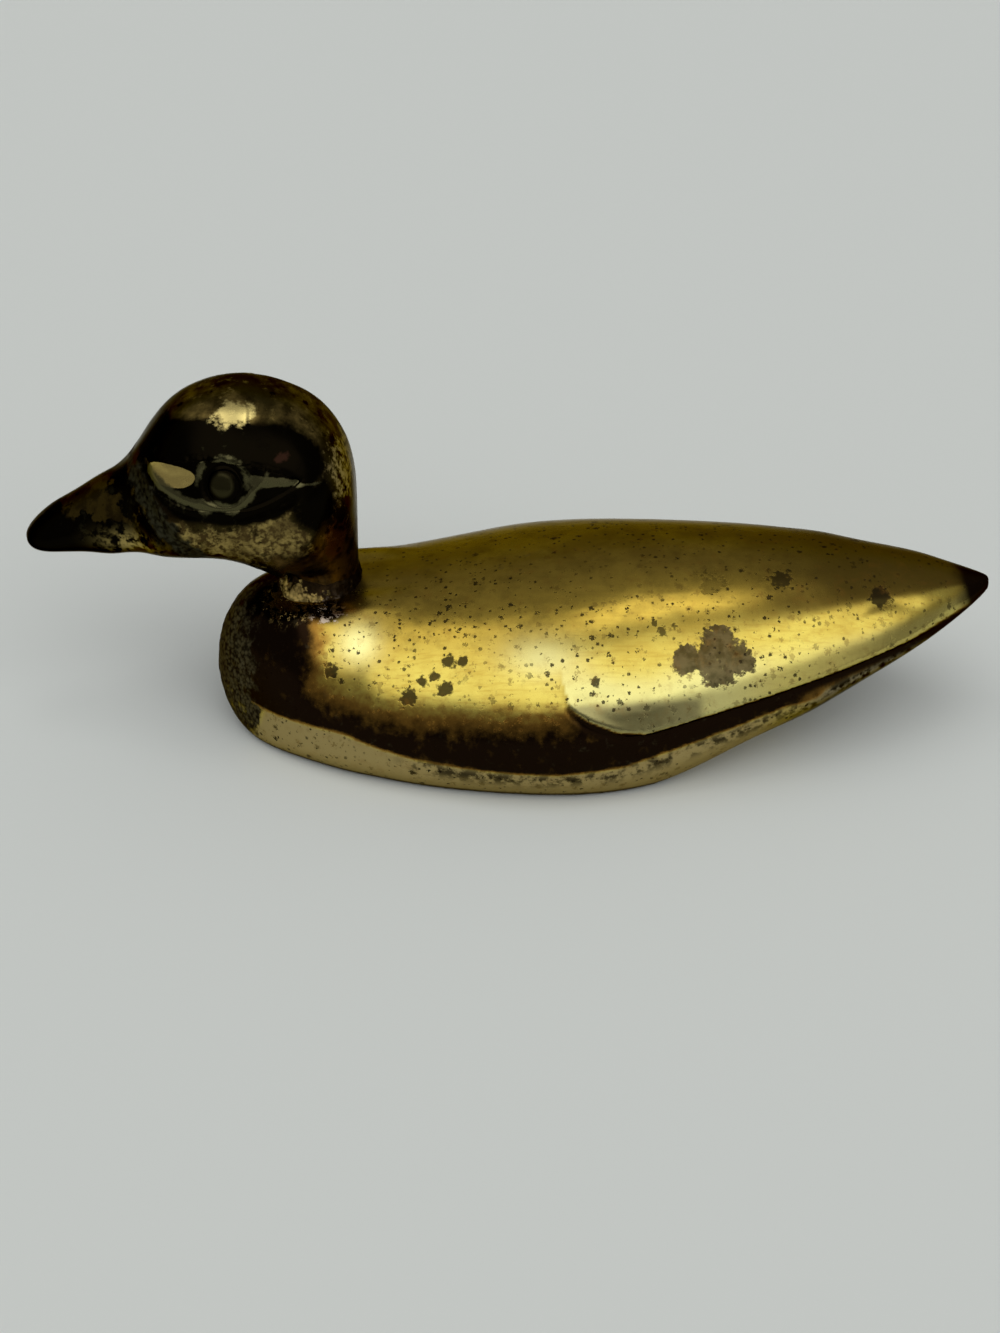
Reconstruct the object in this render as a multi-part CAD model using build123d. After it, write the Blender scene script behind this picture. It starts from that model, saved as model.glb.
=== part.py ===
from build123d import *
import math
import os

# Cast brass duck ornament, in millimetres.
# The bill points along -X, the tail along +X, +Z is up and the table is z = 0.
# Lengths along the duck are measured from the foremost point of the breast.

# Body, outside form
body_length = 103.0
body_width = 48.4
back_height = 25.4
shoulder_height = 20.2
breast_height = 7.4
tail_height = 19.6
breast_round = 9.2
breast_flat = 2.0
tail_tip = 1.4
widest_from_breast = 44.7
crown_from_breast = 59.0
heel_from_breast = 57.0
forefoot_length = 7.0
belt_height = 5.5
belt_tuck = 2.8
breast_fullness = 1.8
tail_plan_fullness = 1.5
tail_plan_close = 0.8  # below 1 the plan ends bluntly
tail_ridge_fullness = 2.75
back_swell = 2.3  # how late the back rises behind the shoulder
tail_droop = 2.4  # the underside heads this far below the tip before it turns up
tail_turn = 6.0  # how late it turns up
ground_off = 0.5  # metal ground away to make the underside flat

# Wings, standing proud of the flank and running out into the tail
wing_relief = 0.7
wing_sink = 1.4
wing_front = 46.0
wing_front_height = 16.5
wing_lobe_back = 2.6  # the rounded front corner, behind the wing's front
wing_lobe_height = 12.6
wing_front_lean = 2.0
wing_root_run = 12.0  # the swollen flank starts this far ahead of the wing
wing_low_from_breast = 57.0
wing_above_belt = 4.8
wing_fade_run = 14.0  # the wings sink back into the tail over this length
wing_tail_short = 3.0  # and stop this far before its end

# Skull, bill and neck
skull_centre = 5.0
skull_centre_height = 33.7
skull_length = 29.1
skull_rise = 14.7
skull_width = 24.5
face_fullness = 2.6
brow_back = 2.0  # the last skull outline stands this far behind the skull's front end
throat_from_breast = 9.0
throat_height = 22.4
jaw_from_breast = -1.0
jaw_height = 25.4
bill_base = -10.9
bill_base_height = 36.8
bill_base_width = 13.0
bill_tip = -24.0
bill_tip_height = 26.9
bill_end_depth = 3.2
bill_end_width = 6.8
bill_end_round = 3.0
bill_end_flat = 0.8
neck_front = 10.0
neck_back = 19.4
neck_width = 10.6

# Where each outline of the head is widest, as a share of its height from below
neck_widest = 0.5
face_widest = 0.47
brow_widest = 0.37
bill_widest = 0.36
skull_from_angle = 30.0  # outlines steeper than this end on the skull, the rest on the neck's back

# Eye, an almond recess that leaves a round pupil standing
eye_centre = 2.6
eye_height = 39.7
eye_length = 22.0
eye_opening = 6.4
eye_depth = 0.5
pupil_diameter = 4.2
pupil_back = 1.3  # pupil set back from the middle of the almond
eye_bridge = 7.0  # uncut width between the two eyes, over the bill

# Casting walls and the joint at the neck
wall = 3.6
cavity_front = 10.0
cavity_back = 81.0
spigot_diameter = 7.0
spigot_length = 6.5
spigot_clearance = 0.05
boss_wall = 2.6
boss_short = 0.5  # the spigot's end shows this far below the boss
braze_height = 3.8
braze_sink = 3.3  # how far the flare runs on below the shoulder, inside the body
braze_lip = 0.25
braze_side_reach = 3.2
braze_front_reach = 5.4
braze_back_reach = 2.6

# Underside: ledge, plate, solder and felt
rim_width = 3.2
ledge_width = 2.2
ledge_thickness = 2.0
plate_thickness = 1.0
plate_clearance = 0.1
solder_leg = 0.6
felt_thickness = 1.0
felt_proud = 0.3
felt_inset = 1.4

# The duck stands on its felt, so the rim floats by what the felt stands proud
rim_z = felt_proud
plate_z = felt_thickness
ledge_z = plate_z + plate_thickness
cavity_floor = ledge_z + ledge_thickness
middle = (body_length + bill_tip) / 2
half_width = body_width / 2
neck_axis = (neck_front + neck_back) / 2


def at(u, y, z):
    """A point u behind the breast, in the duck's own frame."""
    return Vector(u - middle, y, z)


def rounded(t, fullness, left):
    """Share of the full size at t, 1 in the middle (t = 0) and left at the blunt end (t = 1)."""
    return (1 - (1 - left**fullness) * t**fullness) ** (1 / fullness)


def half_breadth(u):
    """Half the plan breadth at the widest line."""
    if u <= widest_from_breast:
        t = (widest_from_breast - u) / widest_from_breast
        return half_width * rounded(t, breast_fullness, breast_flat / body_width)
    t = (u - widest_from_breast) / (body_length - widest_from_breast)
    return tail_tip / 2 + (half_width - tail_tip / 2) * (1 - t**tail_plan_fullness) ** tail_plan_close


def ridge_height(u):
    """Height of the back on the middle plane."""
    if u <= breast_round:
        rise = shoulder_height - breast_height
        t = (breast_round - u) / breast_round
        return breast_height + rise * rounded(t, 2, breast_flat / 2 / rise)
    if u <= crown_from_breast:
        t = (u - breast_round) / (crown_from_breast - breast_round)
        return shoulder_height + (back_height - shoulder_height) * math.sin(t * math.pi / 2) ** back_swell
    t = (u - crown_from_breast) / (body_length - crown_from_breast)
    return back_height - (back_height - tail_height - tail_tip / 2) * t**tail_ridge_fullness


def keel_height(u):
    """Height of the cast underside, before it is ground flat."""
    low = rim_z - ground_off
    if u < forefoot_length:
        fall = breast_height - low
        t = (forefoot_length - u) / forefoot_length
        return breast_height - fall * rounded(t, 2, breast_flat / 2 / fall)
    if u <= heel_from_breast:
        return low
    t = (u - heel_from_breast) / (body_length - heel_from_breast)
    rise = tail_height - tail_tip / 2 - low
    return low + (rise - tail_droop) * t + tail_droop * t**tail_turn


def belt_top(u):
    """Height of the widest line."""
    return keel_height(u) + (belt_height + ground_off) * half_breadth(u) / half_width


def body_section(u, relief=0.0, sink=0.0):
    """Closed outline across the body; relief swells the flank and sink lowers the ridge."""
    breadth = half_breadth(u) + relief
    foot = breadth - belt_tuck * math.sqrt(half_breadth(u) / half_width)
    low = keel_height(u)
    wide = belt_top(u)
    high = ridge_height(u) - sink * (ridge_height(u) - wide) / (back_height - belt_height)
    side = []
    for share in (0.0, 0.3, 0.6, 0.85):
        side.append((breadth - (breadth - foot) * (1 - share) ** 2, low + (wide - low) * share))
    for angle in (0, 14, 28, 42, 56, 68, 79):
        a = math.radians(angle)
        side.append((breadth * math.cos(a), wide + (high - wide) * math.sin(a)))
    far = [at(u, y, z) for y, z in side]
    near = [at(u, -y, z) for y, z in reversed(side)]
    flank = Spline(*far, at(u, 0, high), *near)
    return Wire([flank, Line(near[-1], far[0])])


def body_stations(first, last):
    """Section positions, close together at the blunt breast and the pointed tail."""
    front = [widest_from_breast * (1 - math.cos(math.radians(a))) for a in (0, 7, 14, 23, 35, 49, 63, 77, 90)]
    back_run = body_length - widest_from_breast
    back = [widest_from_breast + back_run * t for t in (0.18, 0.36, 0.52, 0.67, 0.8, 0.9, 0.96, 0.99, 1)]
    return [u for u in front + back if first <= u <= last]


def make_hull():
    """The plain outside of the body, ground flat below."""
    hull = Solid.make_loft([body_section(u) for u in body_stations(0, body_length)])
    below = Box(2 * body_length, 2 * body_width, back_height, align=(Align.CENTER, Align.CENTER, Align.MAX))
    return hull - Pos(0, 0, rim_z) * below


def wing_edge(u):
    """Height of the wing's lower edge, closing on the widest line at the tail."""
    t = (u - wing_low_from_breast) / (body_length - wing_low_from_breast)
    return belt_top(u) + wing_above_belt * (1 - t)


def relief_at(u):
    """How far the wing stands proud; it is below the flank where the wing ends."""
    t = max(0.0, 1 - (body_length - wing_tail_short - u) / wing_fade_run)
    return wing_relief * (1 - 2 * t * t)


def make_wings():
    """A swollen copy of the flank that sinks into the back and tail, trimmed to the wing's outline."""
    last = body_length - wing_tail_short
    stations = body_stations(wing_front - wing_root_run, last - wing_tail_short) + [last]
    swollen = Solid.make_loft([body_section(u, relief_at(u), wing_sink) for u in stations])
    run = body_length - wing_low_from_breast
    lower = [wing_low_from_breast + run * t for t in (0, 0.25, 0.5, 0.75, 1)]
    over = back_height + wing_front_height
    start = at(wing_front + wing_front_lean, 0, over)
    tail_edge = Spline(*[at(u, 0, wing_edge(u)) for u in lower])
    front = at(wing_front, 0, wing_front_height)
    lobe = at(wing_front + wing_lobe_back, 0, wing_lobe_height)
    front_edge = Spline(front, lobe, tail_edge @ 0, tangents=((0, 0, -1), (1, 0, 0)))
    corner = at(body_length, 0, over)
    back_edges = [Line(tail_edge @ 1, corner), Line(corner, start)]
    outline = Wire([Line(start, front), front_edge, tail_edge] + back_edges)
    return swollen & extrude(Face(outline), body_width, dir=(0, 1, 0), both=True)


def jaw_line(u):
    """Height of the underside of the head and bill."""
    if u <= jaw_from_breast:
        return jaw_height
    t = (u - jaw_from_breast) / (throat_from_breast - jaw_from_breast)
    return jaw_height - (jaw_height - throat_height) * t * t


def skull_share(u, fullness):
    """How full the skull is at u, 1 at its middle and 0 at its ends."""
    t = abs(u - skull_centre) / (skull_length / 2)
    return (1 - t**fullness) ** (1 / fullness)


def head_outline(foot, lean, height, breadth, widest):
    """Egg-shaped closed outline that rises from foot along lean; widest is the share of its height."""
    far = []
    for step in range(9):
        a = math.radians(-90 + 22.5 * step)
        rise = height * (widest + (1 - widest if math.sin(a) > 0 else widest) * math.sin(a))
        far.append(foot + lean * rise + Vector(0, breadth / 2 * math.cos(a), 0))
    near = [Vector(p.X, -p.Y, p.Z) for p in reversed(far)]
    out = (0, 1, 0)
    back = (0, -1, 0)
    return Wire([Spline(*far, tangents=(out, back)), Spline(*near, tangents=(back, out))])


def neck_sections(inset=0.0):
    """Outlines that swing round the throat, from level across the neck to upright through the skull."""
    throat = at(throat_from_breast, 0, throat_height)
    outlines = []
    for angle in (0, 22, 44, 66):
        a = math.radians(angle)
        lean = Vector(math.cos(a), 0, math.sin(a))
        start = (neck_front - throat_from_breast) * math.cos(a) + inset
        straight = (neck_back - throat_from_breast) / math.cos(a)
        reach = min(straight, skull_reach(a)) if angle > skull_from_angle else straight
        breadth = neck_width + (skull_width - neck_width) * math.sin(a) ** 2 - 2 * inset
        foot = throat + lean * start
        outlines.append(head_outline(foot, lean, reach - start - inset, breadth, neck_widest))
    return outlines


def skull_reach(a):
    """Distance from the throat to the skull's outline along the angle a."""
    du = throat_from_breast - skull_centre
    dz = throat_height - skull_centre_height
    p = (math.cos(a) / (skull_length / 2)) ** 2 + (math.sin(a) / skull_rise) ** 2
    q = du * math.cos(a) / (skull_length / 2) ** 2 + dz * math.sin(a) / skull_rise**2
    r = (du / (skull_length / 2)) ** 2 + (dz / skull_rise) ** 2 - 1
    return (-q + math.sqrt(q * q - p * r)) / p


def face_sections(inset=0.0):
    """Upright outlines from the throat forward to the brow."""
    brow = skull_centre - skull_length / 2 + brow_back
    outlines = []
    for share in (0, 0.3, 0.58, 0.82, 1):
        u = throat_from_breast + (brow - throat_from_breast) * share
        low = jaw_line(u) + inset
        high = skull_centre_height + skull_rise * skull_share(u, 2) - inset
        breadth = skull_width * skull_share(u, face_fullness) - 2 * inset
        widest = face_widest + (brow_widest - face_widest) * share
        outlines.append(head_outline(at(u, 0, low), Vector(0, 0, 1), high - low, breadth, widest))
    return outlines


def bill_sections(inset=0.0):
    """Upright outlines from the bill's root to its rounded end."""
    outlines = []
    for share in (0, 0.28, 0.55, 0.78, 0.9, 0.97, 1):
        u = bill_base + (bill_tip - bill_base) * share
        t = max(0.0, 1 - (u - bill_tip) / bill_end_round)
        rounding = rounded(t, 2, bill_end_flat / bill_end_width)
        half_end = bill_end_depth / 2
        low = jaw_height + (bill_tip_height - half_end - jaw_height) * share
        high = bill_base_height + (bill_tip_height + half_end - bill_base_height) * share
        centre = bill_tip_height * share + (1 - share) * (low + high) / 2
        low = centre - (centre - low) * rounding + inset
        high = centre + (high - centre) * rounding - inset
        breadth = (bill_base_width + (bill_end_width - bill_base_width) * share) * rounding - 2 * inset
        outlines.append(head_outline(at(u, 0, low), Vector(0, 0, 1), high - low, breadth, bill_widest))
    return outlines


def make_head_form():
    """Head, bill and neck as one smooth form that runs down inside the body."""
    roots = []
    for share in (0, 0.5):
        z = shoulder_height - wall + (throat_height - shoulder_height + wall) * share
        foot = at(neck_front, 0, z)
        roots.append(head_outline(foot, Vector(1, 0, 0), neck_back - neck_front, neck_width, neck_widest))
    return Solid.make_loft(roots + neck_sections() + face_sections() + bill_sections())


def make_eye_cutter():
    """Almond into each side of the head with the pupil left out, bounded inside by a thinner head."""
    bow = (eye_length**2 + eye_opening**2) / (4 * eye_opening)
    rise = bow - eye_opening / 2
    centre = at(eye_centre, -eye_bridge / 2, eye_height)
    side = Plane(origin=centre, x_dir=(1, 0, 0), z_dir=(0, -1, 0))
    almond = (Pos(0, rise) * Circle(bow)) & (Pos(0, -rise) * Circle(bow))
    opening = side * (almond - Pos(pupil_back, 0) * Circle(pupil_diameter / 2))
    near = extrude(opening, skull_width)
    sections = neck_sections(eye_depth)[2:] + face_sections(eye_depth) + bill_sections(eye_depth)[:3]
    core = Solid.make_loft(sections)
    return near + mirror(near, Plane.XZ) - core


def spigot_post(radius, length):
    """Upright round post that hangs from the shoulder on the neck's axis."""
    top = at(neck_axis, 0, throat_height)
    depth = throat_height - ridge_height(neck_axis) + length
    return Pos(top) * Cylinder(radius, depth, align=(Align.CENTER, Align.CENTER, Align.MAX))


def underside_oval(inset, low, high):
    """Upright oval block inside the rim, drawn in by inset."""
    run = (heel_from_breast - forefoot_length) / 2 - rim_width - inset
    across = half_breadth(forefoot_length + run) - belt_tuck - rim_width - inset
    centre = at((forefoot_length + heel_from_breast) / 2, 0, low)
    return Pos(centre) * extrude(Ellipse(run, across), high - low)


def cavity_section(u):
    """Arch across the cored hollow, one wall inside the outside form."""
    breadth = half_breadth(u) - wall
    low = max(cavity_floor, keel_height(u) + wall)
    rise = ridge_height(u) - wall - low
    side = [(breadth * math.cos(a), low + rise * math.sin(a)) for a in map(math.radians, (0, 25, 50, 72))]
    far = [at(u, y, z) for y, z in side]
    near = [at(u, -y, z) for y, z in reversed(side)]
    return Wire([Spline(*far, at(u, 0, low + rise), *near), Line(near[-1], far[0])])


def make_cavity():
    """The cored hollow, open below through the ledge."""
    run = cavity_back - cavity_front
    hollow = Solid.make_loft([cavity_section(cavity_front + run * t) for t in (0, 0.2, 0.4, 0.6, 0.8, 1)])
    return hollow + underside_oval(ledge_width, rim_z, cavity_floor + wall)


def make_body(hull):
    """Outside form with wings, less the cored hollow, the neck bore and the rebate for plate and felt."""
    boss = spigot_post(spigot_diameter / 2 + boss_wall, spigot_length - boss_short)
    bore = spigot_post(spigot_diameter / 2 + spigot_clearance, spigot_length)
    rebate = underside_oval(-plate_clearance, rim_z, ledge_z)
    return hull + make_wings() - (make_cavity() - boss + bore + rebate)


def make_head(hull, head_form):
    """Head casting seated on the body's shoulder, with its spigot and eyes."""
    return head_form - hull + spigot_post(spigot_diameter / 2, spigot_length) - make_eye_cutter()


def make_braze(hull, head_form):
    """Fillet of brazing metal that flares from the neck on to the shoulder."""
    top = shoulder_height + braze_height
    rings = []
    for share in (0, 0.4, 0.7, 1):
        flare = share * share
        grow = braze_lip * (1 - share)
        front = neck_front - braze_front_reach * flare - grow
        back = neck_back + braze_back_reach * flare + grow
        across = neck_width + 2 * (braze_side_reach * flare + grow)
        foot = at(front, 0, top - (braze_height + braze_sink) * share)
        rings.append(head_outline(foot, Vector(1, 0, 0), back - front, across, neck_widest))
    return Solid.make_loft(rings) - hull - head_form


def make_solder():
    """Bead that fills the corner between the plate and the rebate."""
    bead = underside_oval(-plate_clearance, plate_z - solder_leg, plate_z)
    return bead - underside_oval(solder_leg, plate_z - solder_leg, plate_z)


hull = make_hull()
head_form = make_head_form()
pieces = {
    "body_casting": make_body(hull),
    "head_casting": make_head(hull, head_form),
    "neck_braze": make_braze(hull, head_form),
    "base_plate": underside_oval(0, plate_z, ledge_z),
    "base_solder": make_solder(),
    "felt_pad": underside_oval(felt_inset, 0, felt_thickness),
}
os.makedirs("parts", exist_ok=True)
for name, piece in pieces.items():
    print(name, "volume", round(piece.volume), "solids", len(piece.solids()))
    export_step(piece, "parts/" + name + ".step")
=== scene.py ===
import math
import bpy
import bmesh
import numpy as np
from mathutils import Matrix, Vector, noise
from mathutils.bvhtree import BVHTree


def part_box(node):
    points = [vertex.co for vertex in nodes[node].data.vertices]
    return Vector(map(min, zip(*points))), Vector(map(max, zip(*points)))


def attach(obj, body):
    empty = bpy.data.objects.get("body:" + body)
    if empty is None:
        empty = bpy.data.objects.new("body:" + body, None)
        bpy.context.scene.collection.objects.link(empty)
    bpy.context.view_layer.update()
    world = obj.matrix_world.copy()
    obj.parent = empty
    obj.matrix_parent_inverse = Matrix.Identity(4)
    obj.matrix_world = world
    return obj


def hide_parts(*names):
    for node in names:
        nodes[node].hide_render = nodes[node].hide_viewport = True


# Cast brass duck ornament: worn polished body, dark head, felt under the base
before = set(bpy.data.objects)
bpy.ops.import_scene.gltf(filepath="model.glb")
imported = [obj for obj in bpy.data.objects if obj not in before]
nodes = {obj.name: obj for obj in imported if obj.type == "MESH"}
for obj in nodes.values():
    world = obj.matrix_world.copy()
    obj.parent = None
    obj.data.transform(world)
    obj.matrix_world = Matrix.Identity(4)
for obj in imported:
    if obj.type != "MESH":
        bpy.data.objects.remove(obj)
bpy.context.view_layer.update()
mm = 0.001
print("frame loaded:", ", ".join(sorted(nodes)))


# Small helpers for the sculpting, all in millimetres
def ramp(low, high, value):
    t = np.clip((value - low) / (high - low), 0.0, 1.0)
    return t * t * (3 - 2 * t)


def ridge(value, width):
    return np.exp(-(value / width) ** 2)


def blob(points, centre, radii):
    offset = (points - np.array(centre)) / np.array(radii)
    return np.exp(-(offset ** 2).sum(1))


def bothSides(points, centre, radii):
    x, y, z = centre
    return np.clip(blob(points, (x, y, z), radii) + blob(points, (x, -y, z), radii), 0, 1)


def lumps(points, size, seed):
    shift = Vector((seed * 7.3, seed * 3.1, seed * 5.7))
    return np.array([noise.noise(Vector(p) / size + shift) for p in points])


def unevenness(points, grades):
    # lumps of several grades: height and size in millimetres, and a seed
    return sum(height * lumps(points, size, seed) for height, size, seed in grades)


def readPoints(mesh):
    count = len(mesh.vertices)
    points = np.zeros(count * 3)
    normals = np.zeros(count * 3)
    mesh.vertices.foreach_get("co", points)
    mesh.vertices.foreach_get("normal", normals)
    return points.reshape(-1, 3) / mm, normals.reshape(-1, 3)


def writePoints(mesh, points):
    mesh.vertices.foreach_set("co", (points * mm).ravel())
    mesh.update()


def paint(mesh, name, values):
    layer = mesh.attributes.new(name, "FLOAT", "POINT")
    layer.data.foreach_set("value", np.clip(values, 0, 1).astype(np.float32))


def paintPatches(mesh, points, patches):
    # soft patches on both sides, by name: place and reach in millimetres, and strength
    for name, spots in patches.items():
        paint(mesh, name, sum(strength * bothSides(points, place, reach) for place, reach, strength in spots))


def outerShell(mesh):
    # keeps only the shell that reaches furthest out, so a closed hollow inside goes
    bm = bmesh.new()
    bm.from_mesh(mesh)
    bm.verts.ensure_lookup_table()
    seen = set()
    shells = []
    for start in bm.verts:
        if start.index in seen:
            continue
        seen.add(start.index)
        front = [start]
        shell = []
        while front:
            vert = front.pop()
            shell.append(vert)
            for edge in vert.link_edges:
                other = edge.other_vert(vert)
                if other.index not in seen:
                    seen.add(other.index)
                    front.append(other)
        shells.append(shell)
    shells.sort(key=lambda shell: max(v.co.x for v in shell) - min(v.co.x for v in shell))
    for shell in shells[:-1]:
        bmesh.ops.delete(bm, geom=shell, context="VERTS")
    bm.to_mesh(mesh)
    bm.free()


def evenSkin(node, name, voxel, relaxSteps, plug=None):
    # a new even mesh over a CAD node, fine enough to sculpt
    bm = bmesh.new()
    bm.from_mesh(nodes[node].data)
    if plug is not None:
        plug(bm)
    bmesh.ops.remove_doubles(bm, verts=bm.verts, dist=0.001 * mm)
    rough = bpy.data.meshes.new(name)
    bm.to_mesh(rough)
    bm.free()
    skin = bpy.data.objects.new(name, rough)
    bpy.context.scene.collection.objects.link(skin)
    remesh = skin.modifiers.new("remesh", "REMESH")
    remesh.mode = "VOXEL"
    remesh.voxel_size = voxel * mm
    for share, times in relaxSteps:
        relax = skin.modifiers.new("relax", "SMOOTH")
        relax.factor = share
        relax.iterations = times
    depsgraph = bpy.context.evaluated_depsgraph_get()
    skin.data = bpy.data.meshes.new_from_object(skin.evaluated_get(depsgraph))
    skin.modifiers.clear()
    outerShell(skin.data)
    skin.data.shade_smooth()
    skin.data.materials.clear()
    return skin


# Shader helpers
def put(tree, kind, **settings):
    made = tree.nodes.new(kind)
    for key, value in settings.items():
        setattr(made, key, value)
    return made


def feed(tree, target, socket, source):
    # a node's first output, a chosen output, or a plain value
    if isinstance(source, bpy.types.Node):
        source = source.outputs[0]
    if isinstance(source, bpy.types.NodeSocket):
        tree.links.new(source, target.inputs[socket])
    else:
        target.inputs[socket].default_value = source


def maths(tree, operation, a, b=0.0, clamp=False):
    made = put(tree, "ShaderNodeMath", operation=operation, use_clamp=clamp)
    feed(tree, made, 0, a)
    feed(tree, made, 1, b)
    return made


def mapped(tree, value, low, high, to0=0.0, to1=1.0):
    made = put(tree, "ShaderNodeMapRange", interpolation_type="SMOOTHSTEP")
    feed(tree, made, "Value", value)
    feed(tree, made, "From Min", low)
    feed(tree, made, "From Max", high)
    feed(tree, made, "To Min", to0)
    feed(tree, made, "To Max", to1)
    return made


def tint(tree, base, over, share):
    made = put(tree, "ShaderNodeMix", data_type="RGBA")
    feed(tree, made, "Factor", share)
    for socket, colour in (("A", base), ("B", over)):
        target = [s for s in made.inputs if s.name == socket and s.type == "RGBA"][0]
        if isinstance(colour, bpy.types.NodeSocket):
            tree.links.new(colour, target)
        else:
            target.default_value = (*colour, 1.0)
    return [s for s in made.outputs if s.type == "RGBA"][0]


def newGroup(name, inputs, outputs):
    group = bpy.data.node_groups.new(name, "ShaderNodeTree")
    for label, kind, value in inputs:
        socket = group.interface.new_socket(label, in_out="INPUT", socket_type=kind)
        socket.default_value = value
    for label, kind in outputs:
        group.interface.new_socket(label, in_out="OUTPUT", socket_type=kind)
    return group, put(group, "NodeGroupInput"), put(group, "NodeGroupOutput")


def placed(tree, group, **values):
    made = put(tree, "ShaderNodeGroup", node_tree=group)
    for label, value in values.items():
        feed(tree, made, label, value)
    return made


def sizedCoords(tree, size, seed):
    # object coordinates in multiples of a size in millimetres, moved by a seed
    coords = put(tree, "ShaderNodeTexCoord")
    inMm = put(tree, "ShaderNodeVectorMath", operation="SCALE")
    feed(tree, inMm, "Vector", coords.outputs["Object"])
    feed(tree, inMm, "Scale", maths(tree, "DIVIDE", 1000.0, size))
    moved = put(tree, "ShaderNodeVectorMath", operation="ADD")
    feed(tree, moved, 0, inMm)
    feed(tree, moved, 1, seed)
    return moved


def makeTarnishClouds():
    group, given, out = newGroup(
        "tarnishClouds",
        [("Size", "NodeSocketFloat", 6.0), ("Level", "NodeSocketFloat", 0.5),
         ("Softness", "NodeSocketFloat", 0.1), ("Seed", "NodeSocketFloat", 0.0)],
        [("Mask", "NodeSocketFloat")])
    coords = sizedCoords(group, given.outputs["Size"], given.outputs["Seed"])
    field = put(group, "ShaderNodeTexNoise")
    feed(group, field, "Vector", coords)
    feed(group, field, "Scale", 1.0)
    feed(group, field, "Detail", 6.0)
    feed(group, field, "Roughness", 0.62)
    low = maths(group, "SUBTRACT", given.outputs["Level"], given.outputs["Softness"])
    high = maths(group, "ADD", given.outputs["Level"], given.outputs["Softness"])
    feed(group, out, "Mask", mapped(group, field.outputs[0], low, high))
    return group


def makeTarnishSpecks():
    # ragged dots of several sizes, one in some of the cells
    group, given, out = newGroup(
        "tarnishSpecks",
        [("Size", "NodeSocketFloat", 3.0), ("Share", "NodeSocketFloat", 0.3),
         ("Ragged", "NodeSocketFloat", 0.25), ("Seed", "NodeSocketFloat", 0.0)],
        [("Mask", "NodeSocketFloat")])
    coords = sizedCoords(group, given.outputs["Size"], given.outputs["Seed"])
    warp = put(group, "ShaderNodeTexNoise")
    feed(group, warp, "Vector", coords)
    feed(group, warp, "Scale", 5.0)
    feed(group, warp, "Detail", 3.0)
    cells = put(group, "ShaderNodeTexVoronoi")
    feed(group, cells, "Vector", coords)
    feed(group, cells, "Scale", 1.0)
    chance = put(group, "ShaderNodeSeparateColor")
    feed(group, chance, 0, cells.outputs["Color"])
    keep = maths(group, "SUBTRACT", chance.outputs[0], maths(group, "SUBTRACT", 1.0, given.outputs["Share"]))
    reach = maths(group, "MULTIPLY", maths(group, "DIVIDE", keep, given.outputs["Share"]), 0.42)
    wobble = maths(group, "SUBTRACT", warp.outputs[0], 0.5)
    wobble = maths(group, "MULTIPLY", wobble, given.outputs["Ragged"])
    distance = maths(group, "ADD", cells.outputs["Distance"], wobble)
    inner = maths(group, "SUBTRACT", reach, 0.07)
    feed(group, out, "Mask", mapped(group, distance, inner, reach, 1.0, 0.0))
    return group


def makeStainSpot():
    # one stain at a given place, its edge broken up twice; a smaller core makes a softer smudge
    group, given, out = newGroup(
        "stainSpot",
        [("Place", "NodeSocketVector", (0, 0, 0)), ("Reach", "NodeSocketFloat", 2.0),
         ("Core", "NodeSocketFloat", 0.6), ("Ragged", "NodeSocketFloat", 0.6)],
        [("Mask", "NodeSocketFloat")])
    coords = sizedCoords(group, 1.0, (0, 0, 0))
    away = put(group, "ShaderNodeVectorMath", operation="DISTANCE")
    feed(group, away, 0, coords)
    feed(group, away, 1, given.outputs["Place"])
    share = maths(group, "DIVIDE", away.outputs["Value"], given.outputs["Reach"])
    for scale, weight in ((0.45, 1.0), (1.6, 0.8)):
        torn = put(group, "ShaderNodeTexNoise")
        feed(group, torn, "Vector", coords)
        feed(group, torn, "Scale", scale)
        feed(group, torn, "Detail", 5.0)
        wobble = maths(group, "MULTIPLY", maths(group, "SUBTRACT", torn.outputs[0], 0.5), weight)
        share = maths(group, "ADD", share, maths(group, "MULTIPLY", wobble, given.outputs["Ragged"]))
    feed(group, out, "Mask", mapped(group, share, given.outputs["Core"], 1.1, 1.0, 0.0))
    return group


def makeCastGrain():
    # granular cast or corroded skin
    group, given, out = newGroup(
        "castGrain",
        [("Size", "NodeSocketFloat", 0.7), ("Seed", "NodeSocketFloat", 0.0)],
        [("Height", "NodeSocketFloat"), ("Mask", "NodeSocketFloat")])
    coords = sizedCoords(group, given.outputs["Size"], given.outputs["Seed"])
    grains = put(group, "ShaderNodeTexVoronoi")
    feed(group, grains, "Vector", coords)
    feed(group, grains, "Scale", 1.0)
    fine = put(group, "ShaderNodeTexNoise")
    feed(group, fine, "Vector", coords)
    feed(group, fine, "Scale", 1.7)
    feed(group, fine, "Detail", 4.0)
    height = maths(group, "MULTIPLY", grains.outputs["Distance"], fine.outputs[0])
    feed(group, out, "Height", height)
    feed(group, out, "Mask", mapped(group, height, 0.12, 0.42))
    return group


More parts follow.
